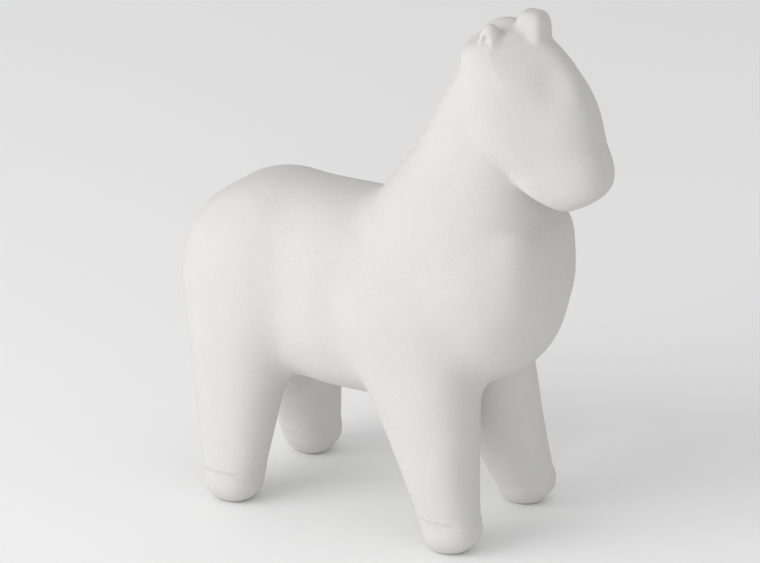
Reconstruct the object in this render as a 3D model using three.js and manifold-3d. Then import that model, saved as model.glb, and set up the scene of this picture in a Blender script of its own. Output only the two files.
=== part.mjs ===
// A standing horse in unglazed white stoneware: hollow slip castings luted rim to rim, with the ears,
// forelock, mane and tail laid on as solid sprigs before firing.
//
// Units are millimetres. +X is the way the horse faces, +Y is its left and +Z is up.
// The sculpting below is measured from the point on the floor midway between the feet. The finished
// group is then moved so that the origin lies on the floor under the middle of the horse's length.

import * as THREE from 'three';
import { mergeVertices } from 'three/addons/utils/BufferGeometryUtils.js';
import Module from 'manifold-3d';

const wasm = await Module();
wasm.setup();

// ---------------------------------------------------------------- driving dimensions

const MIDDLE_OF_LENGTH = 13.85; // from the point midway between the feet, forward
const WALL = 4; // thickness that the slip builds up to in the mould
const JOINT_GAP = 0.3; // room for slip in every luted joint
const LEG_JOINT_HEIGHT = 37;
const NECK_JOINT = { x: 4, z: 121, slope: 0.04 }; // drops forward, from the withers to the chest
const VENT_RADIUS = 4; // lets slip drain out and air escape in the kiln
const VENT_X = -8;
const MANE_PROUD = 1.3;
const TAIL_PROUD = 1.6;

const SKIN_CELL = 5; // facet sizes
const CAVITY_CELL = 6.5;
const STRIP_STEP = 4;
const SPRIG_CELL = 2;

// Blend radii where one mass of clay runs into the next.
const LEG_BLEND = 11;
const HEAD_BLEND = { jaw: 2.5, cheek: 14 };
const COLLAR_BLEND = { withers: 9, chest: 2 };
const CHEST_BLEND = 8;
const POLL_BLEND = 5;
const EYE_BLEND = 7;
const JAW_BLEND = 3;

// A limb is an oval that changes as it runs along a straight axis from start to end. Each station is
// [share of the way, shift of the centre along the depth direction, half depth, half width].
const TORSO = {
  start: [-33, 0, 82],
  end: [46, 0, 82],
  depth: [0, 0, 1],
  squareness: 2.3,
  startCap: 30.5,
  endCap: 30,
  stations: [
    [0, 0, 36.8, 29],
    [0.12, -0.5, 37, 28],
    [0.33, -1, 37.2, 30],
    [0.54, -0.5, 37.6, 28.5],
    [0.75, 3, 38.5, 29.5],
    [1, 12.5, 36.5, 30.5],
  ],
};
const CHEST = { centre: [54, 0, 104], radii: [21.2, 24, 20], squareness: 3.6 };
const REAR_LEG = {
  start: [-41.8, 26.6, 9],
  end: [-45, 12.5, 80],
  depth: [1, 0, 0],
  squareness: 2.3,
  startCap: 10,
  endCap: 32,
  stations: [
    [0, 0, 10.4, 10.3],
    [0.05, 0, 11.2, 10.4],
    [0.45, 0, 16.3, 14],
    [1, 0, 23.5, 18.5],
  ],
};
const FRONT_LEG = {
  start: [49.6, 26.3, 9],
  end: [27, 15, 80],
  depth: [1, 0, 0],
  squareness: 2.3,
  startCap: 10,
  endCap: 32,
  stations: [
    [0, 0, 10.5, 9.5],
    [0.05, 0, 10.8, 10.4],
    [0.45, 0, 16.6, 14],
    [1, 0, 27, 19],
  ],
};
const NECK = {
  start: [38, 0, 108],
  end: [56, 0, 174],
  depth: [1, 0, 0],
  squareness: 2.3,
  startCap: 20,
  endCap: 9,
  stations: [
    [0, 2, 36.5, 28.6],
    [0.12, 2.4, 34, 28.2],
    [0.48, 1.5, 24.2, 22.5],
    [0.82, 1, 18.6, 19],
    [1, 0, 14, 16],
  ],
};
const HEAD = {
  start: [58, 0, 184],
  end: [77.3, 0, 143.3],
  depth: [1, 0, 0],
  squareness: 2.9,
  startCap: 4.5,
  endCap: 17.5,
  taper: 0.3, // the face is narrower than the cheeks behind it
  pinch: 0.34, // and the brow narrower still
  stations: [
    [0, -1.2, 12.8, 14],
    [0.33, 1.1, 17.3, 16.5],
    [0.67, 1.6, 18.6, 17],
    [1, 1.1, 16.4, 15.3],
  ],
};
const POLL = { centre: [56, 0, 184.4], radii: [8.5, 6.8, 7.2] };
const EYE_HOLLOW = { centre: [83.5, 17, 180.5], radii: [11, 11, 14] };

// The underside of the head rises to the throat, and from a keel in its middle to the cheeks.
const JAW = { point: [68, 0, 133], slope: 26, keel: 0.22 };

const EAR = { centre: [55.2, 10.2, 184.2], radii: [4.3, 4.6, 8.4], lean: 10 };
const EAR_HOLLOW = { centre: [55, 16, 185], radii: [2.2, 3.3, 5.4] };
const LEFT_EAR_DROP = 2.5; // the left ear sits a little lower than the right
const FORELOCK = { centre: [65.7, 0, 185], radii: [5.8, 5.6, 11.3], squareness: 3.4 };
const MANE = { proud: MANE_PROUD, halfWidth: 3.6, within: 45, low: 124, high: 180, fade: 6 };
const TAIL = { proud: TAIL_PROUD, halfWidth: 4.4, within: -46, low: 49.5, high: 94, fade: 16 };

// ---------------------------------------------------------------- clay: distance-like fields

// The fields are negative inside the clay, positive outside, and close to a distance near the skin.

// A smooth curve through the points, with no overshoot past the first and the last.
function curveThrough(places, values) {
  const last = places.length - 1;
  const slopes = values.map(() => 0);
  const step = (i) => places[i + 1] - places[i];
  const rise = (i) => (values[i + 1] - values[i]) / step(i);
  slopes[0] = rise(0);
  slopes[last] = rise(last - 1);
  for (let i = 1; i < last; i += 1) {
    slopes[i] = (rise(i - 1) * step(i) + rise(i) * step(i - 1)) / (step(i) + step(i - 1));
  }
  return (place) => {
    const x = THREE.MathUtils.clamp(place, places[0], places[last]);
    let i = 0;
    while (i < last - 1 && x >= places[i + 1]) i += 1;
    const h = step(i);
    const t = (x - places[i]) / h;
    const t2 = t * t;
    const t3 = t2 * t;
    return (
      (2 * t3 - 3 * t2 + 1) * values[i] +
      (t3 - 2 * t2 + t) * h * slopes[i] +
      (3 * t2 - 2 * t3) * values[i + 1] +
      (t3 - t2) * h * slopes[i + 1]
    );
  };
}

// Distance-like value of a superellipsoid, from its three scaled coordinates and radii.
function ovalField(scaled, radii, n) {
  const size = Math.pow(scaled[0] ** n + scaled[1] ** n + scaled[2] ** n, 1 / n);
  const slope = Math.hypot(...scaled.map((value, i) => value ** (n - 1) / radii[i]));
  return ((size - 1) * size ** (n - 1)) / Math.max(slope, 1e-6);
}

function limb(shape) {
  const start = new THREE.Vector3(...shape.start);
  const axis = new THREE.Vector3(...shape.end).sub(start);
  const length = axis.length();
  axis.normalize();
  const depth = new THREE.Vector3(...shape.depth);
  depth.addScaledVector(axis, -depth.dot(axis)).normalize();
  const width = new THREE.Vector3().crossVectors(axis, depth);
  const places = shape.stations.map((station) => station[0] * length);
  const column = (i) => curveThrough(places, shape.stations.map((station) => station[i]));
  const [shiftAt, halfDepthAt, halfWidthAt] = [column(1), column(2), column(3)];
  const { taper = 0, pinch = 0 } = shape;
  const offset = new THREE.Vector3();
  return (point) => {
    offset.copy(point).sub(start);
    const along = offset.dot(axis);
    const clamped = THREE.MathUtils.clamp(along, 0, length);
    const halfDepth = halfDepthAt(clamped);
    const forward = (offset.dot(depth) - shiftAt(clamped)) / halfDepth;
    const tapered = taper * THREE.MathUtils.clamp(forward, -1, 1);
    const pinched = pinch * THREE.MathUtils.clamp(forward, 0, 1) * (1 - clamped / length);
    const halfWidth = halfWidthAt(clamped) * (1 - tapered - pinched);
    const cap = along < length / 2 ? shape.startCap : shape.endCap;
    const scaled = [
      Math.abs(forward),
      Math.abs(offset.dot(width)) / halfWidth,
      Math.abs(along - clamped) / cap,
    ];
    return ovalField(scaled, [halfDepth, halfWidth, cap], shape.squareness);
  };
}

function ball({ centre, radii, squareness = 2, lean = 0 }) {
  const middle = new THREE.Vector3(...centre);
  const sideways = new THREE.Vector3(1, 0, 0);
  const turn = new THREE.Quaternion().setFromAxisAngle(sideways, THREE.MathUtils.degToRad(lean));
  const offset = new THREE.Vector3();
  return (point) => {
    offset.copy(point).sub(middle).applyQuaternion(turn);
    const scaled = offset.toArray().map((value, i) => Math.abs(value) / radii[i]);
    return ovalField(scaled, radii, squareness);
  };
}

// Two masses run together with a rounded inner corner, or one is cut away with a rounded edge.
function blend(a, b, radius) {
  const near = Math.max(radius - Math.abs(a - b), 0) / radius;
  return Math.min(a, b) - (near ** 3 * radius) / 6;
}
const pare = (a, b, radius) => -blend(-a, b, radius);

// ---------------------------------------------------------------- the horse's body

const torso = limb(TORSO);
const rearLeg = limb(REAR_LEG);
const frontLeg = limb(FRONT_LEG);
const chest = ball(CHEST);
const neck = limb(NECK);
const skull = limb(HEAD);
const poll = ball(POLL);
const eyeHollow = ball(EYE_HOLLOW);

// The cheek runs smoothly into the neck, and the jaw stands out from it.
function neckAndHead(point) {
  const angle = THREE.MathUtils.degToRad(JAW.slope);
  const [jawX, , jawZ] = JAW.point;
  const rise = (point.x - jawX) * Math.sin(angle) + (point.z - jawZ) * Math.cos(angle);
  const aboveJaw = rise - JAW.keel * point.y;
  const brow = pare(blend(skull(point), poll(point), POLL_BLEND), eyeHollow(point), EYE_BLEND);
  const head = pare(brow, aboveJaw, JAW_BLEND);
  const cheekShare = THREE.MathUtils.smoothstep(aboveJaw, 1, 12);
  return blend(neck(point), head, THREE.MathUtils.lerp(HEAD_BLEND.jaw, HEAD_BLEND.cheek, cheekShare));
}

function body(at) {
  const point = new THREE.Vector3(at.x, Math.abs(at.y), at.z);
  const rear = blend(torso(point), rearLeg(point), LEG_BLEND);
  const barrel = blend(rear, frontLeg(point), LEG_BLEND);
  const trunk = blend(barrel, chest(point), CHEST_BLEND);
  const chestShare = THREE.MathUtils.smoothstep(point.x, 38, 58);
  const collar = THREE.MathUtils.lerp(COLLAR_BLEND.withers, COLLAR_BLEND.chest, chestShare);
  return blend(trunk, neckAndHead(point), collar);
}

// ---------------------------------------------------------------- from field to closed mesh

function gradient(field, point) {
  const e = 0.05;
  const probe = point.clone();
  const slope = ['x', 'y', 'z'].map((axis) => {
    probe[axis] = point[axis] + e;
    const ahead = field(probe);
    probe[axis] = point[axis] - e;
    const behind = field(probe);
    probe[axis] = point[axis];
    return (ahead - behind) / (2 * e);
  });
  return new THREE.Vector3(...slope);
}

// Surface nets: one vertex in every cell that the skin crosses, one face across every crossed edge.
// The vertices are then pulled onto the skin.
function meshOf(field, low, high, cell) {
  const counts = low.map((value, i) => Math.ceil((high[i] - value) / cell) + 1);
  const [nx, ny, nz] = counts;
  const strides = [1, nx, nx * ny];
  const at = (i, j, k) => i + j * nx + k * nx * ny;
  const values = new Float32Array(nx * ny * nz);
  const point = new THREE.Vector3();
  for (let k = 0; k < nz; k += 1) {
    for (let j = 0; j < ny; j += 1) {
      for (let i = 0; i < nx; i += 1) {
        point.set(low[0] + i * cell, low[1] + j * cell, low[2] + k * cell);
        values[at(i, j, k)] = field(point);
      }
    }
  }

  const corners = [0, 1, 2, 3, 4, 5, 6, 7].map((n) => [n & 1, (n >> 1) & 1, n >> 2]);
  const edges = [];
  for (const bit of [1, 2, 4]) {
    for (let n = 0; n < 8; n += 1) if (!(n & bit)) edges.push([n, n | bit]);
  }
  const vertexOfCell = new Map();
  const vertices = [];
  for (let k = 0; k < nz - 1; k += 1) {
    for (let j = 0; j < ny - 1; j += 1) {
      for (let i = 0; i < nx - 1; i += 1) {
        const heights = corners.map(([a, b, c]) => values[at(i + a, j + b, k + c)]);
        const crossed = edges.filter(([m, n]) => heights[m] < 0 !== heights[n] < 0);
        if (crossed.length === 0) continue;
        const sum = new THREE.Vector3();
        for (const [m, n] of crossed) {
          const from = new THREE.Vector3(...corners[m]);
          const to = new THREE.Vector3(...corners[n]);
          sum.add(from.lerp(to, heights[m] / (heights[m] - heights[n])));
        }
        sum.divideScalar(crossed.length).add(new THREE.Vector3(i, j, k));
        sum.multiplyScalar(cell).add(new THREE.Vector3(...low));
        vertexOfCell.set(at(i, j, k), vertices.length);
        vertices.push(sum);
      }
    }
  }

  for (const vertex of vertices) {
    for (let pass = 0; pass < 3; pass += 1) {
      const slope = gradient(field, vertex);
      const step = -field(vertex) / Math.max(slope.lengthSq(), 0.05);
      vertex.addScaledVector(slope, THREE.MathUtils.clamp(step, -cell / 2, cell / 2));
    }
  }

  const triangles = [];
  for (let axis = 0; axis < 3; axis += 1) {
    const across = strides[(axis + 1) % 3];
    const up = strides[(axis + 2) % 3];
    for (let k = 1; k < nz - 1; k += 1) {
      for (let j = 1; j < ny - 1; j += 1) {
        for (let i = 1; i < nx - 1; i += 1) {
          const here = at(i, j, k);
          const inside = values[here] < 0;
          if (inside === values[here + strides[axis]] < 0) continue;
          const cells = [here - across - up, here - up, here, here - across];
          const ring = cells.map((cellIndex) => vertexOfCell.get(cellIndex));
          if (!inside) ring.reverse();
          const [a, b, c, d] = ring;
          const shortCut = vertices[a].distanceTo(vertices[c]) < vertices[b].distanceTo(vertices[d]);
          triangles.push(...(shortCut ? [a, b, c, a, c, d] : [a, b, d, b, c, d]));
        }
      }
    }
  }
  return { vertices, triangles };
}

// ---------------------------------------------------------------- solids, cuts and joins

function solidFrom(positions, triangles) {
  return new wasm.Manifold(
    new wasm.Mesh({
      numProp: 3,
      vertProperties: Float32Array.from(positions),
      triVerts: Uint32Array.from(triangles),
    }),
  );
}

function solidOfMesh({ vertices, triangles }) {
  return solidFrom(vertices.flatMap((vertex) => vertex.toArray()), triangles);
}

function solidOfGeometry(geometry) {
  geometry.deleteAttribute('normal');
  geometry.deleteAttribute('uv');
  const merged = mergeVertices(geometry);
  return solidFrom(merged.attributes.position.array, merged.index.array);
}

function geometryOf(solid) {
  const { vertProperties, triVerts } = solid.getMesh();
  const geometry = new THREE.BufferGeometry();
  geometry.setAttribute('position', new THREE.BufferAttribute(vertProperties, 3));
  geometry.setIndex(new THREE.BufferAttribute(triVerts, 1));
  geometry.computeVertexNormals();
  return geometry;
}

// A block with two opposite corners given.
function block(low, high) {
  const size = high.map((value, i) => value - low[i]);
  const middle = high.map((value, i) => (value + low[i]) / 2);
  return solidOfGeometry(new THREE.BoxGeometry(...size).translate(...middle));
}

// All the room above the neck's joint, with its face shifted up or down.
function roomAboveNeckJoint(shift) {
  const size = 400;
  const room = new THREE.BoxGeometry(size, size, size).translate(0, 0, size / 2);
  room.rotateY(Math.atan(NECK_JOINT.slope));
  return solidOfGeometry(room.translate(NECK_JOINT.x, 0, NECK_JOINT.z + shift));
}

// The biggest of the separate lumps in a solid.
function mainLump(solid) {
  const lumps = solid.decompose();
  return lumps.reduce((best, lump) => (lump.volume() > best.volume() ? lump : best));
}

// ---------------------------------------------------------------- castings

const REACH = { low: [-90, -52, -12], high: [112, 52, 212] };
const FLOOR_TO_TOP = 250;
const SIDE = 120;

const skinMesh = meshOf(body, REACH.low, REACH.high, SKIN_CELL);
const cavityMesh = meshOf((point) => body(point) + WALL, REACH.low, REACH.high, CAVITY_CELL);
const aboveFloor = block([-SIDE, -SIDE, 0], [SIDE, SIDE, FLOOR_TO_TOP]);

function ventHole() {
  const hole = new THREE.CylinderGeometry(VENT_RADIUS, VENT_RADIUS, 30, 24);
  return solidOfGeometry(hole.rotateX(Math.PI / 2).translate(VENT_X, 0, LEG_JOINT_HEIGHT + 10));
}

const horseWall = solidOfMesh(skinMesh)
  .intersect(aboveFloor)
  .subtract(solidOfMesh(cavityMesh))
  .subtract(ventHole());

// One quarter of the horse below the leg joint: forward or rear, left or right.
function legCasting(forward, left) {
  const top = LEG_JOINT_HEIGHT - JOINT_GAP / 2;
  const low = [forward > 0 ? 0 : -SIDE, left > 0 ? 0 : -SIDE, 0];
  const high = [forward > 0 ? SIDE : 0, left > 0 ? SIDE : 0, top];
  return horseWall.intersect(block(low, high));
}

function torsoCasting() {
  const bottom = LEG_JOINT_HEIGHT + JOINT_GAP / 2;
  const aboveLegs = block([-SIDE, -SIDE, bottom], [SIDE, SIDE, FLOOR_TO_TOP]);
  return horseWall.intersect(aboveLegs).subtract(roomAboveNeckJoint(-JOINT_GAP / 2));
}

function neckHeadCasting() {
  return horseWall.intersect(roomAboveNeckJoint(JOINT_GAP / 2));
}

// ---------------------------------------------------------------- sprigs laid on the skin

// The horse's skin grown by the joint gap: every sprig is hollowed to fit over it.
function grownSkin() {
  const vertices = skinMesh.vertices.map((vertex) => {
    return vertex.clone().addScaledVector(gradient(body, vertex).normalize(), JOINT_GAP);
  });
  return solidOfMesh({ vertices, triangles: skinMesh.triangles });
}
const sprigBed = grownSkin();

const laidOn = (mesh) => mainLump(solidOfMesh(mesh).subtract(sprigBed));

// How far back the skin reaches on the median line at a height, starting from a point inside.
function skinBehind(within, z) {
  let outside = -100;
  let inside = within;
  while (inside - outside > 0.01) {
    const middle = (inside + outside) / 2;
    if (body(new THREE.Vector3(middle, 0, z)) > 0) outside = middle;
    else inside = middle;
  }
  return inside;
}

// A band of clay laid down the median line behind the horse, thinning away at its two ends.
function strip({ proud, halfWidth, within, low, high, fade }) {
  const bevel = 0.8;
  const depthInside = 6;
  const outer = [];
  const inner = [];
  const rows = Math.ceil((high - low) / STRIP_STEP);
  for (let row = 0; row <= rows; row += 1) {
    const z = THREE.MathUtils.lerp(low, high, row / rows);
    const rising = THREE.MathUtils.smoothstep(z, low - 0.5, low + fade);
    const falling = 1 - THREE.MathUtils.smoothstep(z, high - fade, high + 0.5);
    const skin = skinBehind(within, z);
    const outward = gradient(body, new THREE.Vector3(skin, 0, z)).normalize();
    const lift = proud * Math.min(rising, falling) - bevel;
    outer.push(new THREE.Vector2(skin + outward.x * lift, z + outward.z * lift));
    inner.push(new THREE.Vector2(skin - outward.x * depthInside, z - outward.z * depthInside));
  }
  const outline = new THREE.Shape([...outer, ...inner.reverse()]);
  const band = new THREE.ExtrudeGeometry(outline, {
    depth: 2 * (halfWidth - bevel),
    bevelEnabled: true,
    bevelThickness: bevel,
    bevelSize: bevel,
    bevelSegments: 2,
  });
  band.translate(0, 0, bevel - halfWidth);
  band.rotateX(Math.PI / 2);
  return mainLump(solidOfGeometry(band).subtract(sprigBed));
}

// side is 1 on the left and -1 on the right.
function ear(side, drop) {
  const lobe = ball(EAR);
  const hollow = ball(EAR_HOLLOW);
  const field = (at) => {
    const point = new THREE.Vector3(at.x, at.y * side, at.z + drop);
    return pare(lobe(point), hollow(point), 2);
  };
  const middle = side * EAR.centre[1];
  return laidOn(meshOf(field, [45, middle - 10, 170], [63, middle + 10, 200], SPRIG_CELL));
}

function forelock() {
  return laidOn(meshOf(ball(FORELOCK), [54, -9, 170], [78, 9, 204], SPRIG_CELL));
}

// ---------------------------------------------------------------- assembly

const horse = new THREE.Group();

function add(name, solid, colour, roughness) {
  const material = new THREE.MeshStandardMaterial({ color: colour, roughness, metalness: 0 });
  const mesh = new THREE.Mesh(geometryOf(solid), material);
  mesh.name = name;
  horse.add(mesh);
}

const CASTING_WHITE = 0xe4e3e1;
const SPRIG_WHITE = 0xe7e6e4;

add('torso_casting', torsoCasting(), CASTING_WHITE, 0.9);
add('neck_head_casting', neckHeadCasting(), CASTING_WHITE, 0.9);
for (const [end, forward] of [['front', 1], ['rear', -1]]) {
  for (const [side, left] of [['right', -1], ['left', 1]]) {
    add(`${end}_${side}_leg`, legCasting(forward, left), CASTING_WHITE, 0.9);
  }
}
add('right_ear', ear(-1, 0), SPRIG_WHITE, 0.9);
add('left_ear', ear(1, LEFT_EAR_DROP), SPRIG_WHITE, 0.9);
add('forelock', forelock(), SPRIG_WHITE, 0.9);
add('mane_crest', strip(MANE), SPRIG_WHITE, 0.9);
add('tail', strip(TAIL), SPRIG_WHITE, 0.9);

horse.position.x = -MIDDLE_OF_LENGTH;

export default horse;
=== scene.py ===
"""The looks of a slip-cast stoneware horse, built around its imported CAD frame.

The horse is one mass of clay, described by a field that is negative inside and close to a distance
near the skin. The castings and the sprigs laid on them are meshed finely from that field.
Sculpting is in millimetres, measured from the point on the floor midway between the feet.
"""

import math

import bmesh
import bpy
import numpy as np
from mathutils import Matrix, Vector


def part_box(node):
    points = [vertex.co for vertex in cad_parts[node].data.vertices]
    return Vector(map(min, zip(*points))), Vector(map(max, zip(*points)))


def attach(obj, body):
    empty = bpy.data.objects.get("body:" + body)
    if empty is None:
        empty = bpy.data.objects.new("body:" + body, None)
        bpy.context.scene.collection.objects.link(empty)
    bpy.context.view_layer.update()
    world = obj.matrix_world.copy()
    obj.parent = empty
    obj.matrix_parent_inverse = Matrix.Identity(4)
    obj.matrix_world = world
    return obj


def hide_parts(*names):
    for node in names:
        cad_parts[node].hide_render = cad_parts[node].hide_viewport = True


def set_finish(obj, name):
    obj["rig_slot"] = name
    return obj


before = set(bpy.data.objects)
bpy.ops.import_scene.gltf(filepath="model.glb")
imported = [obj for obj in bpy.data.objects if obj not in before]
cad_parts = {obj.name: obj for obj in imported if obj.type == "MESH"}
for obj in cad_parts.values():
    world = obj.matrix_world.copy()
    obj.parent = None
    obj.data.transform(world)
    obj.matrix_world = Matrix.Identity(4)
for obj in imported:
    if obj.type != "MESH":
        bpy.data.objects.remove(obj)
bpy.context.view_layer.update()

MM = 0.001
MIDDLE_OF_LENGTH = 13.85  # mm from the sculpting's zero to the frame's

# ---------------------------------------------------------------- sculpting dimensions, mm

# Radii of the rounded corners where two masses run together or one is cut away.
LEG_BLEND = 11
HEAD_BLEND = (2.5, 14)  # under the jaw, at the cheek
CHEEK_RISE = (1, 12)  # heights above the jaw between which the one turns into the other
COLLAR_BLEND = (9, 2)  # at the withers, at the chest
COLLAR_CHANGE = (38, 58)  # places along the horse between which the one turns into the other
JAW_BLEND = 3
CHEST_BLEND = 8
POLL_BLEND = 5
EYE_BLEND = 7
EAR_BLEND = 1.6
EAR_RIM = 1.2
SLIT_EDGE = 0.4
FORELOCK_BLEND = 2.0
VENT_EDGE = 0.8
SOLE_BLEND = 1.0

# A limb is an oval that changes along a straight axis. Each station is
# (share of the way, shift of the centre along the depth direction, half depth, half width),
# and the caps are how far the limb reaches past its start and its end.
TORSO = dict(
    start=(-33, 0, 82),
    end=(46, 0, 82),
    depth=(0, 0, 1),
    squareness=2.3,
    caps=(30.5, 30),
    stations=(
        (0, 0, 36.8, 29),
        (0.12, -0.5, 37, 28),
        (0.33, -1, 37.2, 30),
        (0.54, -0.5, 37.6, 28.5),
        (0.75, 3, 38.5, 29.5),
        (1, 12.5, 36.5, 30.5),
    ),
)
REAR_LEG = dict(
    start=(-41.8, 26.6, 9),
    end=(-45, 12.5, 80),
    depth=(1, 0, 0),
    squareness=2.3,
    caps=(10, 32),
    stations=((0, 0, 10.4, 10.3), (0.05, 0, 11.2, 10.4), (0.45, 0, 16.3, 14), (1, 0, 23.5, 18.5)),
)
FRONT_LEG = dict(
    start=(49.6, 26.3, 9),
    end=(27, 15, 80),
    depth=(1, 0, 0),
    squareness=2.3,
    caps=(10, 32),
    stations=((0, 0, 10.5, 9.5), (0.05, 0, 10.8, 10.4), (0.45, 0, 16.6, 14), (1, 0, 27, 19)),
)
NECK = dict(
    start=(38, 0, 108),
    end=(56, 0, 174),
    depth=(1, 0, 0),
    squareness=2.3,
    caps=(20, 9),
    stations=(
        (0, 2, 36.5, 28.6),
        (0.12, 2.4, 34, 28.2),
        (0.48, 1.5, 24.2, 22.5),
        (0.82, 1, 18.6, 19),
        (1, 0, 14, 16),
    ),
)
HEAD = dict(
    start=(58, 0, 184),
    end=(77.3, 0, 143.3),
    depth=(1, 0, 0),
    squareness=2.9,
    caps=(4.5, 17.5),
    taper=0.3,  # the face is narrower than the cheeks behind it
    pinch=0.34,  # and the brow narrower still
    stations=(
        (0, -1.2, 12.8, 14),
        (0.33, 1.1, 17.3, 16.5),
        (0.67, 1.6, 18.6, 17),
        (1, 1.1, 16.4, 15.3),
    ),
)

# The underside of the head rises to the throat, and from a keel in its middle to the cheeks.
JAW = dict(point=(68, 0, 133), slope=26, keel=0.22)
CHEST = dict(centre=(54, 0, 104), radii=(21.2, 24, 20), squareness=3.6)

POLL = dict(centre=(56, 0, 184.4), radii=(8.5, 6.8, 7.2))
EYE_HOLLOW = dict(centre=(83.5, 17, 180.5), radii=(11, 11, 14))
EAR = dict(centre=(55.2, 10.2, 184.2), radii=(4.3, 4.6, 8.4), lean=10)
EAR_HOLLOW = dict(centre=(55, 16, 185), radii=(2.2, 3.3, 5.4))
EAR_SLIT = dict(centre=(59.6, 4.4, 187.6), radii=(2.4, 0.6, 2.6))
LEFT_EAR_DROP = 2.5
FORELOCK = dict(centre=(65.7, 0, 185), radii=(5.8, 5.6, 11.3), squareness=3.4)
VENT = dict(x=-8, radius=4, top=56)

# A band fades in and out between two heights each, and across it between two distances from the
# middle.
# Both bands stay behind a place along the horse.
MANE = dict(proud=1.3, across=(2.4, 4.4), foot=(119, 128), tip=(176, 186), behind=50)
GOUGE = dict(pitch=5.6, depth=0.9, half_width=0.8, slant=0.8)
GOUGED = dict(across=(0.5, 1.5), foot=(126, 130), tip=(172, 178))
CREST = dict(point=(8.2, 122.5), angle=59.8)  # in the x-z plane, degrees from the horizontal
TAIL = dict(proud=1.6, across=(3.4, 5.2), foot=(48.5, 52), tip=(76, 96), behind=-40)

# The line cut above a hoof fades in and out between two angles each, in degrees: 0 is the rear of
# the foot and 90 its outer side. Its height swings up and down this many times around the foot.
HOOF_LINE = dict(height=12.3, depth=0.55, width=0.45, start=(-30, -5), end=(118, 140))
HOOF_LINE_SWING = dict(height=0.5, times=1.3)

# The hoof stands proud between an edge, measured from the line, and a sole, measured from the floor.
HOOF = dict(radius=16, top=25, proud=0.3, edge=(-0.4, 0.3), sole=(2, 7))

SPONGE_DEPTH = 0.05

# ---------------------------------------------------------------- fields


def curve_through(places, values, x):
    """A smooth curve through three points or more, flat beyond the first and the last."""
    places = np.asarray(places, float)
    values = np.asarray(values, float)
    step = np.diff(places)
    rise = np.diff(values) / step
    inner = (rise[:-1] * step[1:] + rise[1:] * step[:-1]) / (step[1:] + step[:-1])
    slopes = np.concatenate([rise[:1], inner, rise[-1:]])
    x = np.clip(x, places[0], places[-1])
    i = np.clip(np.searchsorted(places, x, side="right") - 1, 0, len(places) - 2)
    h = step[i]
    t = (x - places[i]) / h
    return (
        (2 * t**3 - 3 * t**2 + 1) * values[i]
        + (t**3 - 2 * t**2 + t) * h * slopes[i]
        + (3 * t**2 - 2 * t**3) * values[i + 1]
        + (t**3 - t**2) * h * slopes[i + 1]
    )


def oval_field(scaled, radii, n):
    """Distance-like value of a superellipsoid from its three scaled coordinates."""
    size = sum(s**n for s in scaled) ** (1 / n)
    slope = np.sqrt(sum((s ** (n - 1) / r) ** 2 for s, r in zip(scaled, radii)))
    return (size - 1) * size ** (n - 1) / np.maximum(slope, 1e-6)


def limb(points, shape):
    """An oval that changes along its axis, with a rounded cap at each end."""
    start = np.array(shape["start"], float)
    axis = np.array(shape["end"], float) - start
    length = np.linalg.norm(axis)
    axis /= length
    depth = np.array(shape["depth"], float)
    depth -= axis * (depth @ axis)
    depth /= np.linalg.norm(depth)
    width = np.cross(axis, depth)
    offset = points - start
    along = offset @ axis
    clamped = np.clip(along, 0, length)
    stations = np.array(shape["stations"], float)
    places = stations[:, 0] * length
    columns = [curve_through(places, column, clamped) for column in stations.T[1:]]
    shift, half_depth, half_width = columns
    forward = (offset @ depth - shift) / half_depth
    taper = shape.get("taper", 0) * np.clip(forward, -1, 1)
    pinch = shape.get("pinch", 0) * np.clip(forward, 0, 1) * (1 - clamped / length)
    half_width = half_width * (1 - taper - pinch)
    cap = np.where(along < length / 2, *shape["caps"])
    scaled = (np.abs(forward), np.abs(offset @ width) / half_width, np.abs(along - clamped) / cap)
    return oval_field(scaled, (half_depth, half_width, cap), shape["squareness"])


def ball(points, centre, radii, squareness=2, lean=0):
    """A ball or a rounded block, its top leaning towards +Y by an angle in degrees."""
    offset = points - np.array(centre, float)
    angle = math.radians(lean)
    y = offset[:, 1] * math.cos(angle) - offset[:, 2] * math.sin(angle)
    z = offset[:, 1] * math.sin(angle) + offset[:, 2] * math.cos(angle)
    scaled = [np.abs(value) / radius for value, radius in zip((offset[:, 0], y, z), radii)]
    return oval_field(scaled, radii, squareness)


def blend(a, b, radius):
    """Two masses run together with a rounded inner corner."""
    near = np.maximum(radius - np.abs(a - b), 0) / radius
    return np.minimum(a, b) - near**3 * radius / 6


def pare(a, b, radius):
    """a with b cut away, the edge rounded."""
    return -blend(-a, b, radius)


def step_up(x, low, high):
    """0 below low and 1 above high, with a smooth rise between."""
    t = np.clip((x - low) / (high - low), 0, 1)
    return t * t * (3 - 2 * t)


def both_sides(points):
    """The points with those on the right brought over to the left."""
    q = points.copy()
    q[:, 1] = np.abs(q[:, 1])
    return q


# ---------------------------------------------------------------- the horse


def above_jaw(points):
    """Height above the underside of the head."""
    angle = math.radians(JAW["slope"])
    x, _, z = JAW["point"]
    rise = (points[:, 0] - x) * math.sin(angle) + (points[:, 2] - z) * math.cos(angle)
    return rise - JAW["keel"] * points[:, 1]


def head(points):
    skull = blend(limb(points, HEAD), ball(points, **POLL), POLL_BLEND)
    skull = pare(skull, ball(points, **EYE_HOLLOW), EYE_BLEND)
    return pare(skull, above_jaw(points), JAW_BLEND)


def neck_and_head(points):
    """The cheek runs smoothly into the neck, and the jaw stands out from it."""
    jaw, cheek = HEAD_BLEND
    softness = jaw + (cheek - jaw) * step_up(above_jaw(points), *CHEEK_RISE)
    return blend(limb(points, NECK), head(points), softness)


def vent(points):
    """The hole under the belly that let the air out in the kiln."""
    across = np.hypot(points[:, 0] - VENT["x"], points[:, 1]) - VENT["radius"]
    return np.maximum(across, points[:, 2] - VENT["top"])


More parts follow.
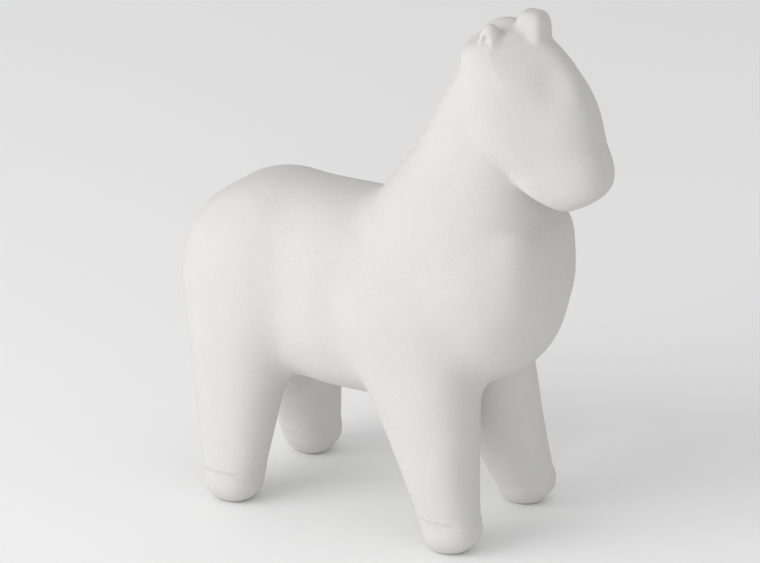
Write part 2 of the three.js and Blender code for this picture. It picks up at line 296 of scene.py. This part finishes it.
def hand_unevenness(p):
    """Slow hollows and swellings of up to a tenth of a millimetre, left by the sponge.

    The numbers are wavelengths and swings picked so that no pattern repeats.
    """
    x, y, z = p.T
    return SPONGE_DEPTH * (
        np.sin(x / 5.1 + 1.7 * np.sin(z / 9.3)) * np.sin(z / 6.7 + y / 8.9)
        + np.sin(y / 4.3 + 1.3 * np.sin(x / 7.1)) * np.sin(z / 4.9 - x / 11.3)
    )


def hoof_marks(q):
    """The incised line above each hoof, and the hoof standing slightly proud below it."""
    change = np.zeros(len(q))
    for leg in (REAR_LEG, FRONT_LEG):
        foot = np.array(leg["start"], float)
        dx, dy = q[:, 0] - foot[0], q[:, 1] - foot[1]
        near = (np.hypot(dx, dy) < HOOF["radius"]) & (q[:, 2] < HOOF["top"])
        turn = np.degrees(np.arctan2(dy, -dx))
        arc = step_up(turn, *HOOF_LINE["start"]) * (1 - step_up(turn, *HOOF_LINE["end"]))
        swing = HOOF_LINE_SWING["height"] * np.sin(np.radians(turn) * HOOF_LINE_SWING["times"])
        height = q[:, 2] - HOOF_LINE["height"] - swing
        line = HOOF_LINE["depth"] * np.exp(-((height / HOOF_LINE["width"]) ** 2)) * arc
        proud = HOOF["proud"] * (1 - step_up(height, *HOOF["edge"]))
        proud = proud * step_up(q[:, 2], *HOOF["sole"])
        change += np.where(near, line - proud, 0)
    return change


def body(points):
    """The whole horse but for its sprigs."""
    q = both_sides(points)
    trunk = limb(q, TORSO)
    for leg in (REAR_LEG, FRONT_LEG):
        trunk = blend(trunk, limb(q, leg), LEG_BLEND)
    withers, chest = COLLAR_BLEND
    collar = withers + (chest - withers) * step_up(q[:, 0], *COLLAR_CHANGE)
    trunk = blend(trunk, ball(q, **CHEST), CHEST_BLEND)
    skin = blend(trunk, neck_and_head(q), collar)
    skin = skin + hoof_marks(q) + hand_unevenness(points)
    skin = pare(skin, vent(points), VENT_EDGE)
    return pare(skin, points[:, 2], SOLE_BLEND)


def ear(points, side):
    """The body with one ear on it. side is 1 on the left and -1 on the right."""
    q = points.copy()
    q[:, 1] *= side
    if side > 0:
        q[:, 2] += LEFT_EAR_DROP
    lobe = pare(ball(q, **EAR), ball(q, **EAR_HOLLOW), EAR_RIM)
    return pare(blend(body(points), lobe, EAR_BLEND), ball(q, **EAR_SLIT), SLIT_EDGE)


def forelock(points):
    return blend(body(points), ball(points, **FORELOCK), FORELOCK_BLEND)


def between(z, foot, tip):
    """1 between the two heights, fading to 0 past each."""
    return step_up(z, *foot) * (1 - step_up(z, *tip))


def gouges(points):
    """Depth of the slanting strokes cut across the mane on both of its sides."""
    x, y, z = points.T
    angle = math.radians(CREST["angle"])
    crest_x, crest_z = CREST["point"]
    up_crest = (x - crest_x) * math.cos(angle) + (z - crest_z) * math.sin(angle)
    stroke = (up_crest + GOUGE["slant"] * np.abs(y)) % GOUGE["pitch"] - GOUGE["pitch"] / 2
    depth = GOUGE["depth"] * np.exp(-((stroke / GOUGE["half_width"]) ** 2))
    return depth * step_up(np.abs(y), *GOUGED["across"]) * between(z, GOUGED["foot"], GOUGED["tip"])


def mane(points):
    x, y, z = points.T
    across = 1 - step_up(np.abs(y), *MANE["across"])
    along = between(z, MANE["foot"], MANE["tip"]) * (x < MANE["behind"])
    return body(points) - (MANE["proud"] - gouges(points)) * across * along


def tail(points):
    x, y, z = points.T
    across = 1 - step_up(np.abs(y), *TAIL["across"])
    along = between(z, TAIL["foot"], TAIL["tip"]) * (x < TAIL["behind"])
    return body(points) - TAIL["proud"] * across * along


# ---------------------------------------------------------------- meshing

STRIDE = 6  # fine cells to a block
NEAR_BLOCKS = 1.3  # a block whose middle is this close to the skin may hold some of it
FAR = 99.0
CHUNK = 400_000  # points worked out at a time
LEAST_SLOPE = 0.05  # a flatter field than this can't be followed to its zero
SLOPE_STEP = 0.05  # mm to either side of a point, between which the field's slope is measured
CASTING_NORMAL_STEP = 0.12
SPRIG_NORMAL_STEP = 0.06
CUT_TOLERANCE = 1e-7
FEATHER = 0.012  # a sprig ends where it stands this little above the casting
ROOT = 0.7  # and its underside lies this far below the casting's skin
HIDDEN = 1  # the material index that marks a sprig's inner faces while its normals are set
LARGEST_NET_FACE = 8  # a face with more corners than this closes a cut


def in_chunks(field, points):
    values = [field(points[i : i + CHUNK]) for i in range(0, len(points), CHUNK)]
    return np.concatenate(values)


def gradient(field, points, step=SLOPE_STEP):
    slope = np.empty_like(points)
    for axis in range(3):
        nudge = np.zeros(3)
        nudge[axis] = step
        slope[:, axis] = (field(points + nudge) - field(points - nudge)) / (2 * step)
    return slope


def grid_points(low, indices, cell):
    return np.asarray(low, float) + indices * cell


def refined(blocks):
    """Every block's value given to each of its fine cells."""
    return blocks.repeat(STRIDE, 0).repeat(STRIDE, 1).repeat(STRIDE, 2)


def sample(field, low, high, cell):
    """The field on a fine grid, worked out only near the skin, and a large value elsewhere."""
    block = cell * STRIDE
    blocks = np.ceil((np.asarray(high) - np.asarray(low, float)) / block).astype(int)
    middles = grid_points(low, np.argwhere(np.ones(blocks, bool)) + 0.5, block)
    at_middle = in_chunks(field, middles).reshape(blocks)
    near = refined(np.abs(at_middle) < NEAR_BLOCKS * block)
    values = refined(np.sign(at_middle)) * FAR
    values[near] = in_chunks(field, grid_points(low, np.argwhere(near), cell))
    return values


def surface_net(values, low, cell):
    """One vertex in every cell that the skin crosses, and one face across every crossed edge."""
    inside = values < 0
    shape = np.array(values.shape)
    total = np.zeros((*(shape - 1), 3), np.float32)
    count = np.zeros(shape - 1, np.float32)
    for corner in np.ndindex(2, 2, 2):
        for axis in range(3):
            if corner[axis]:
                continue
            other = list(corner)
            other[axis] = 1
            a = values[tuple(slice(c, n - 1 + c) for c, n in zip(corner, shape))]
            b = values[tuple(slice(c, n - 1 + c) for c, n in zip(other, shape))]
            crossed = (a < 0) != (b < 0)
            share = np.where(crossed, a / np.where(crossed, a - b, 1), 0)
            for k in range(3):
                total[..., k] += share if k == axis else crossed * corner[k]
            count += crossed
    active = count > 0
    number = np.full(active.shape, -1)
    number[active] = np.arange(active.sum())
    vertices = (np.argwhere(active) + total[active] / count[active][:, None]) * cell + low

    faces = []
    for axis in range(3):
        first = [slice(1, n - 1) for n in shape]
        second = list(first)
        first[axis] = slice(0, shape[axis] - 1)
        second[axis] = slice(1, shape[axis])
        start_inside = inside[tuple(first)]
        crossing = start_inside != inside[tuple(second)]
        at = np.argwhere(crossing) + [int(k != axis) for k in range(3)]
        u, v = ((axis + 1) % 3, (axis + 2) % 3)
        ring = []
        for du, dv in ((1, 1), (0, 1), (0, 0), (1, 0)):
            cell_at = at.copy()
            cell_at[:, u] -= du
            cell_at[:, v] -= dv
            ring.append(number[tuple(cell_at.T)])
        ring = np.stack(ring, -1)
        outward = start_inside[crossing][:, None]
        faces.append(np.where(outward, ring, ring[:, ::-1]))
    return vertices, np.concatenate(faces)


def skin_of(field, low, high, cell):
    """The field's zero as a mesh of quads, each vertex moved twice towards the zero itself."""
    vertices, faces = surface_net(sample(field, low, high, cell), np.asarray(low, float), cell)
    for _ in range(2):
        slope = in_chunks(lambda p: gradient(field, p), vertices)
        step = in_chunks(field, vertices) / np.maximum((slope**2).sum(1), LEAST_SLOPE)
        vertices = vertices - slope * np.clip(step, -cell / 2, cell / 2)[:, None]
    return vertices, faces


def to_frame(vertices):
    return (vertices - [MIDDLE_OF_LENGTH, 0, 0]) * MM


def from_frame(vertices):
    return vertices / MM + [MIDDLE_OF_LENGTH, 0, 0]


def object_of(name, mesh):
    obj = bpy.data.objects.new(name, mesh)
    bpy.context.scene.collection.objects.link(obj)
    return obj


def set_normals(mesh, field, step):
    """Smooth normals straight from the field, so that neighbouring pieces shade as one skin."""
    count = len(mesh.vertices)
    co = np.empty(count * 3)
    mesh.vertices.foreach_get("co", co)
    normals = in_chunks(lambda p: gradient(field, p, step), from_frame(co.reshape(-1, 3)))
    normals /= np.maximum(np.linalg.norm(normals, axis=1, keepdims=True), 1e-9)
    corner_vertex = np.empty(len(mesh.loops), int)
    mesh.loops.foreach_get("vertex_index", corner_vertex)
    corners = normals[corner_vertex]
    for face in mesh.polygons:
        if face.material_index == HIDDEN or len(face.vertices) > LARGEST_NET_FACE:
            corners[face.loop_start : face.loop_start + face.loop_total] = face.normal
    mesh.polygons.foreach_set("use_smooth", [True] * len(mesh.polygons))
    mesh.normals_split_custom_set(corners.tolist())


def casting(name, low, high, cell, planes):
    """A closed piece of the body between planes, each given as a point and its outward direction."""
    vertices, faces = skin_of(body, low, high, cell * COARSER)
    mesh = bpy.data.meshes.new(name)
    mesh.from_pydata(to_frame(vertices).tolist(), [], faces.tolist())
    bm = bmesh.new()
    bm.from_mesh(mesh)
    for point, outward in planes:
        bmesh.ops.bisect_plane(
            bm,
            geom=bm.verts[:] + bm.edges[:] + bm.faces[:],
            plane_co=Vector(point),
            plane_no=Vector(outward),
            clear_outer=True,
            dist=CUT_TOLERANCE,
        )
    rims = [edge for edge in bm.edges if edge.is_boundary]
    bmesh.ops.edgeloop_fill(bm, edges=rims)
    bm.to_mesh(mesh)
    bm.free()
    set_normals(mesh, body, CASTING_NORMAL_STEP)
    return object_of(name, mesh)


def sprig(name, field, low, high, cell):
    """A closed piece: the part of the field's skin that stands above the body, with an underside."""
    vertices, faces = skin_of(field, low, high, cell * COARSER)
    lift = in_chunks(body, vertices)
    faces = faces[(lift[faces] > FEATHER).all(1)]
    faces = faces[biggest_patch(faces, len(vertices))]
    used, flat = np.unique(faces, return_inverse=True)
    faces = flat.reshape(faces.shape)
    top = vertices[used]
    slope = in_chunks(lambda p: gradient(body, p), top)
    fall = (lift[used] + ROOT) / np.maximum((slope**2).sum(1), LEAST_SLOPE)
    bottom = top - slope * fall[:, None]
    count = len(top)
    edges = np.concatenate([faces[:, [k, (k + 1) % 4]] for k in range(4)])
    key = edges[:, 0] * count + edges[:, 1]
    rim = edges[~np.isin(key, edges[:, 1] * count + edges[:, 0])]
    sides = np.stack([rim[:, 1], rim[:, 0], rim[:, 0] + count, rim[:, 1] + count], -1)
    every = np.concatenate([faces, faces[:, ::-1] + count, sides])
    mesh = bpy.data.meshes.new(name)
    mesh.from_pydata(to_frame(np.concatenate([top, bottom])).tolist(), [], every.tolist())
    hidden = np.zeros(len(every), int)
    hidden[len(faces) :] = HIDDEN
    mesh.polygons.foreach_set("material_index", hidden)
    set_normals(mesh, field, SPRIG_NORMAL_STEP)
    mesh.polygons.foreach_set("material_index", np.zeros(len(every), int))
    return object_of(name, mesh)


def biggest_patch(faces, vertex_count):
    """Which faces belong to the largest connected patch."""
    label = np.arange(vertex_count)
    while True:
        lowest = label[faces].min(1)
        new = label.copy()
        for k in range(4):
            np.minimum.at(new, faces[:, k], lowest)
        new = new[new]
        if (new == label).all():
            break
        label = new
    names, sizes = np.unique(label[faces[:, 0]], return_counts=True)
    return label[faces[:, 0]] == names[sizes.argmax()]


# ---------------------------------------------------------------- the pieces

COARSER = 1.0
CASTING_MARGIN = 4  # mm sculpted around a CAD piece's box
SPRIG_MARGIN = 9
PIECE_CELL = dict(torso=0.9, neck=0.7, leg=0.5, sprig=0.4, strip=0.5)  # mm

torso_low, torso_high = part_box("torso_casting")
neck_low, neck_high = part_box("neck_head_casting")
LEG_JOINT = (torso_low.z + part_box("front_right_leg")[1].z) / 2
NECK_JOINT = dict(x=4, z=121, slope=0.04)  # a plane that drops a little towards the chest
NECK_JOINT_POINT = Vector(((NECK_JOINT["x"] - MIDDLE_OF_LENGTH) * MM, 0, NECK_JOINT["z"] * MM))
NECK_UP = Vector((NECK_JOINT["slope"], 0, 1)).normalized()


def reach(low, high, margin):
    """A box in sculpting millimetres around a box in the frame."""
    return from_frame(np.array(low)) - margin, from_frame(np.array(high)) + margin


pieces = []


def place(obj, node, slot):
    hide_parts(node)
    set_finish(obj, slot)
    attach(obj, "root")
    pieces.append(obj)


def make_castings():
    low, high = reach(torso_low, torso_high, CASTING_MARGIN)
    planes = [((0, 0, LEG_JOINT), (0, 0, -1)), (NECK_JOINT_POINT, NECK_UP)]
    torso = casting("torso_shell", low, high, PIECE_CELL["torso"], planes)
    place(torso, "torso_casting", "casting")
    low, high = reach(neck_low, neck_high, CASTING_MARGIN)
    planes = [(NECK_JOINT_POINT, -NECK_UP)]
    neck_head = casting("neck_head_shell", low, high, PIECE_CELL["neck"], planes)
    place(neck_head, "neck_head_casting", "casting")
    for node in ("front_right_leg", "front_left_leg", "rear_right_leg", "rear_left_leg"):
        low, high = reach(*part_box(node), CASTING_MARGIN)
        planes = [((0, 0, LEG_JOINT), (0, 0, 1))]
        leg = casting(node + "_shell", low, high, PIECE_CELL["leg"], planes)
        place(leg, node, "casting")


def make_sprigs():
    fields = {
        "right_ear": lambda p: ear(p, -1),
        "left_ear": lambda p: ear(p, 1),
        "forelock": forelock,
        "mane_crest": mane,
        "tail": tail,
    }
    for node, field in fields.items():
        low, high = reach(*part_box(node), SPRIG_MARGIN)
        cell = PIECE_CELL["strip" if node in ("mane_crest", "tail") else "sprig"]
        place(sprig(node + "_sprig", field, low, high, cell), node, "sprig")


# ---------------------------------------------------------------- material

WHITENESS = 0.64  # how much light the fired clay gives back
TINT = (1.0, 0.992, 0.980)
CLAY_ROUGHNESS = 0.85
CLAY_SHEEN = 0.25

# Each noise's scale per metre, detail and roughness. Most of a noise lies in the middle range.
MOTTLE = (70, 4, 0.6)
GRAIN = (1500, 2, 0.5)
SKIN_WAVES = (420, 3, 0.6)
SKIN_GRAIN = (1800, 2, 0.5)
MIDDLE_RANGE = (0.3, 0.7)
MOTTLE_TONE = (0.984, 1.012)
GRAIN_TONE = (0.975, 1.025)
WAVES_HEIGHT = (-0.5, 0.5)  # in units of the relief
GRAIN_HEIGHT = (-0.35, 0.35)
RELIEF = 0.00007  # metres

PINHOLE_CELLS = 60  # per metre
PINHOLE_CHANCE = (0.80, 0.82)  # a cell whose random number is above these has a pinhole
PINHOLE_SIZE = (0.012, 0.03)  # its radius, as a share of a cell
# A pinhole's colour is multiplied by this: painted shade standing in for the shade inside the pit
PINHOLE_PAINTED_SHADE = 0.55
PINHOLE_DEPTH = 3.0


def bisque(name):
    """Matte fired clay: faint mottling, fine grain, a few pinholes darkened with painted shade."""
    material = bpy.data.materials.new(name)
    material.use_nodes = True
    tree = material.node_tree
    nodes, links = tree.nodes, tree.links
    shader = nodes["Principled BSDF"]
    shader.inputs["Roughness"].default_value = CLAY_ROUGHNESS
    shader.inputs["Specular IOR Level"].default_value = CLAY_SHEEN
    where = nodes.new("ShaderNodeTexCoord").outputs["Object"]

    def noise(scale, detail, roughness):
        node = nodes.new("ShaderNodeTexNoise")
        node.inputs["Scale"].default_value = scale
        node.inputs["Detail"].default_value = detail
        node.inputs["Roughness"].default_value = roughness
        links.new(where, node.inputs["Vector"])
        return node.outputs["Fac"]

    def ranged(value, low, high, to_low, to_high):
        node = nodes.new("ShaderNodeMapRange")
        limits = {"From Min": low, "From Max": high, "To Min": to_low, "To Max": to_high}
        for socket, number in limits.items():
            node.inputs[socket].default_value = number
        links.new(value, node.inputs["Value"])
        return node.outputs["Result"]

    def maths(operation, a, b):
        node = nodes.new("ShaderNodeMath")
        node.operation = operation
        for socket, value in zip(node.inputs, (a, b)):
            if isinstance(value, (int, float)):
                socket.default_value = value
            else:
                links.new(value, socket)
        return node.outputs[0]

    mottle = ranged(noise(*MOTTLE), *MIDDLE_RANGE, *MOTTLE_TONE)
    grain = ranged(noise(*GRAIN), *MIDDLE_RANGE, *GRAIN_TONE)
    cells = nodes.new("ShaderNodeTexVoronoi")
    cells.inputs["Scale"].default_value = PINHOLE_CELLS
    links.new(where, cells.inputs["Vector"])
    split = nodes.new("ShaderNodeSeparateColor")
    links.new(cells.outputs["Color"], split.inputs["Color"])
    chosen = ranged(split.outputs["Red"], *PINHOLE_CHANCE, 0, 1)
    size = ranged(split.outputs["Green"], 0, 1, *PINHOLE_SIZE)
    dot = maths("LESS_THAN", cells.outputs["Distance"], size)
    pit = maths("MULTIPLY", dot, chosen)
    tone = maths("MULTIPLY", mottle, grain)
    # painted shade darkens the colour inside each pinhole
    tone = maths("MULTIPLY", tone, ranged(pit, 0, 1, 1, PINHOLE_PAINTED_SHADE))
    tone = maths("MULTIPLY", tone, WHITENESS)
    mix = nodes.new("ShaderNodeCombineColor")
    for socket, share in zip(mix.inputs, TINT):
        links.new(maths("MULTIPLY", tone, share), socket)
    links.new(mix.outputs["Color"], shader.inputs["Base Color"])

    waves = ranged(noise(*SKIN_WAVES), 0, 1, *WAVES_HEIGHT)
    height = maths("ADD", waves, ranged(noise(*SKIN_GRAIN), 0, 1, *GRAIN_HEIGHT))
    height = maths("SUBTRACT", height, maths("MULTIPLY", pit, PINHOLE_DEPTH))
    bump = nodes.new("ShaderNodeBump")
    bump.inputs["Strength"].default_value = 1.0
    bump.inputs["Distance"].default_value = RELIEF
    links.new(height, bump.inputs["Height"])
    links.new(bump.outputs["Normal"], shader.inputs["Normal"])
    return material


# ---------------------------------------------------------------- studio


def area_light(name, place_at, aim, size, power):
    data = bpy.data.lights.new(name, "AREA")
    data.shape = "DISK"
    data.size = size
    data.energy = power
    light = object_of(name, data)
    light.location = place_at
    light.rotation_euler = (Vector(aim) - Vector(place_at)).to_track_quat("-Z", "Y").to_euler()


def around(target, azimuth, elevation, distance):
    """A point seen from the target at an azimuth (0 looks along +Y) and an elevation, in degrees."""
    a, e = math.radians(azimuth), math.radians(elevation)
    back = Vector((math.sin(a) * math.cos(e), -math.cos(a) * math.cos(e), math.sin(e)))
    return Vector(target) + back * distance


VIEW_AZIMUTH = 31.3
VIEW_ELEVATION = 21.0
VIEW_DISTANCE = 1.9
VIEW_TARGET = Vector((-0.0099, 0, 0.0839))
LENS = 252
SENSOR_WIDTH = 36
CLIP_END = 50

FLOOR_REACH = 6.0
FLOOR_WHITE = (0.96, 0.96, 0.96, 1)
FLOOR_ROUGHNESS = 0.95
WORLD_WHITE = (1, 1, 1, 1)
WORLD_STRENGTH = 0.64
LIGHTS_AIM = (0, 0, 0.1)

# Each light's turn from the view, elevation, distance, width and power.
LIGHTS = {
    "key": (-64, 20, 1.3, 1.1, 9.2),
    "front_fill": (-6, 10, 2.0, 0.6, 3.2),
}


def make_floor():
    floor_mesh = bpy.data.meshes.new("floor")
    side = FLOOR_REACH
    corners = [(-side, -side, 0), (side, -side, 0), (side, side, 0), (-side, side, 0)]
    floor_mesh.from_pydata(corners, [], [(0, 1, 2, 3)])
    floor = object_of("floor", floor_mesh)
    paper = bpy.data.materials.new("floor_paper")
    paper.use_nodes = True
    shader = paper.node_tree.nodes["Principled BSDF"]
    shader.inputs["Base Color"].default_value = FLOOR_WHITE
    shader.inputs["Roughness"].default_value = FLOOR_ROUGHNESS
    shader.inputs["Specular IOR Level"].default_value = 0.0
    floor_mesh.materials.append(paper)


def make_lights():
    world = bpy.data.worlds.new("studio")
    world.use_nodes = True
    background = world.node_tree.nodes["Background"]
    background.inputs["Color"].default_value = WORLD_WHITE
    background.inputs["Strength"].default_value = WORLD_STRENGTH
    bpy.context.scene.world = world
    for name, (turn, elevation, distance, width, power) in LIGHTS.items():
        place_at = around(LIGHTS_AIM, VIEW_AZIMUTH + turn, elevation, distance)
        area_light(name, place_at, LIGHTS_AIM, width, power)


def make_camera():
    camera_data = bpy.data.cameras.new("camera")
    camera_data.lens = LENS
    camera_data.sensor_width = SENSOR_WIDTH
    camera_data.clip_end = CLIP_END
    camera = object_of("camera", camera_data)
    camera.location = around(VIEW_TARGET, VIEW_AZIMUTH, VIEW_ELEVATION, VIEW_DISTANCE)
    camera.rotation_euler = (VIEW_TARGET - camera.location).to_track_quat("-Z", "Y").to_euler()
    bpy.context.scene.camera = camera


# ---------------------------------------------------------------- build

make_castings()
make_sprigs()
clay = {"casting": bisque("casting_bisque"), "sprig": bisque("sprig_bisque")}
for piece in pieces:
    piece.data.materials.clear()
    piece.data.materials.append(clay[piece["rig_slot"]])
make_floor()
make_lights()
make_camera()
bpy.context.scene.view_settings.view_transform = "Standard"
